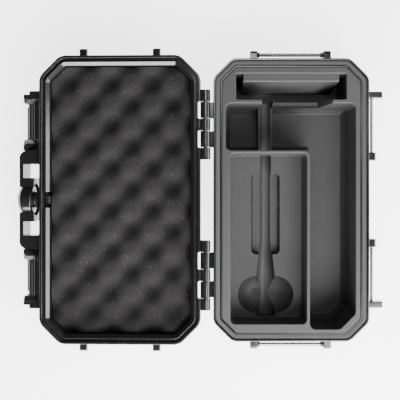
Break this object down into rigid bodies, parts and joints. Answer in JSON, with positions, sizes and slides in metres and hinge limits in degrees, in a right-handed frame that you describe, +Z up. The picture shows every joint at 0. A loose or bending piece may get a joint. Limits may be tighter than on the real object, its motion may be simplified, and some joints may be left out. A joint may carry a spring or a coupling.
{
  "type": "hard carry case",
  "caption": "Small hinged hard-shell carry case, open, with a fitted compartment tray, egg-crate lid foam, side latches and a purge valve.",
  "frame": {"origin": "centre of the base shell's underside", "axes": "+Z up, +X from the hinges towards the latch side, +Y along the case's length"},
  "size_m": [0.2957, 0.2434, 0.062],
  "materials": {
    "gloss_black": "glossy moulded plastic",
    "tray_grey": "matt, finely layered",
    "seal_grey": "matt rubber",
    "foam_charcoal": "open-cell foam",
    "satin_black": "satin moulded plastic",
    "steel": "drawn rod"
  },
  "bodies": {
    "base": {"base_shell": "gloss_black", "rim_gasket": "seal_grey", "insert_tray": "tray_grey", "hinge_pin_upper": "steel", "keeper_rod_upper": "steel", "strap_bar_upper": "steel", "bar_collar_upper_hinge": "satin_black", "bar_collar_upper_latch": "satin_black", "hinge_pin_lower": "steel", "keeper_rod_lower": "steel", "strap_bar_lower": "steel", "bar_collar_lower_hinge": "satin_black", "bar_collar_lower_latch": "satin_black"},
    "lid": {"lid_shell": "gloss_black", "foam_pad": "foam_charcoal", "latch_pin_upper": "steel", "latch_pin_lower": "steel", "valve_body": "satin_black", "valve_nut": "satin_black", "valve_seal": "seal_grey"},
    "latch_upper": {"latch_lever_upper": "satin_black"},
    "latch_lower": {"latch_lever_lower": "satin_black"},
    "purge_knob": {"purge_knob": "satin_black"}
  },
  "joints": [
    {"name": "lid_hinge", "type": "hinge", "parent": "base", "child": "lid", "pos_m": [-0.0688, 0, 0.058], "axis": [0, 1, 0], "range_deg": [0, 182]},
    {"name": "latch_upper_pivot", "type": "hinge", "parent": "lid", "child": "latch_upper", "pos_m": [-0.2103, 0.0633, 0.04405], "axis": [0, 1, 0], "range_deg": [0, 180]},
    {"name": "latch_lower_pivot", "type": "hinge", "parent": "lid", "child": "latch_lower", "pos_m": [-0.2103, -0.0633, 0.04405], "axis": [0, 1, 0], "range_deg": [0, 180]},
    {"name": "purge_knob_turn", "type": "hinge", "parent": "lid", "child": "purge_knob", "pos_m": [-0.21515, 0, 0.04248], "axis": [-0.9994, 0, -0.0349], "range_deg": [0, 270]}
  ]
}
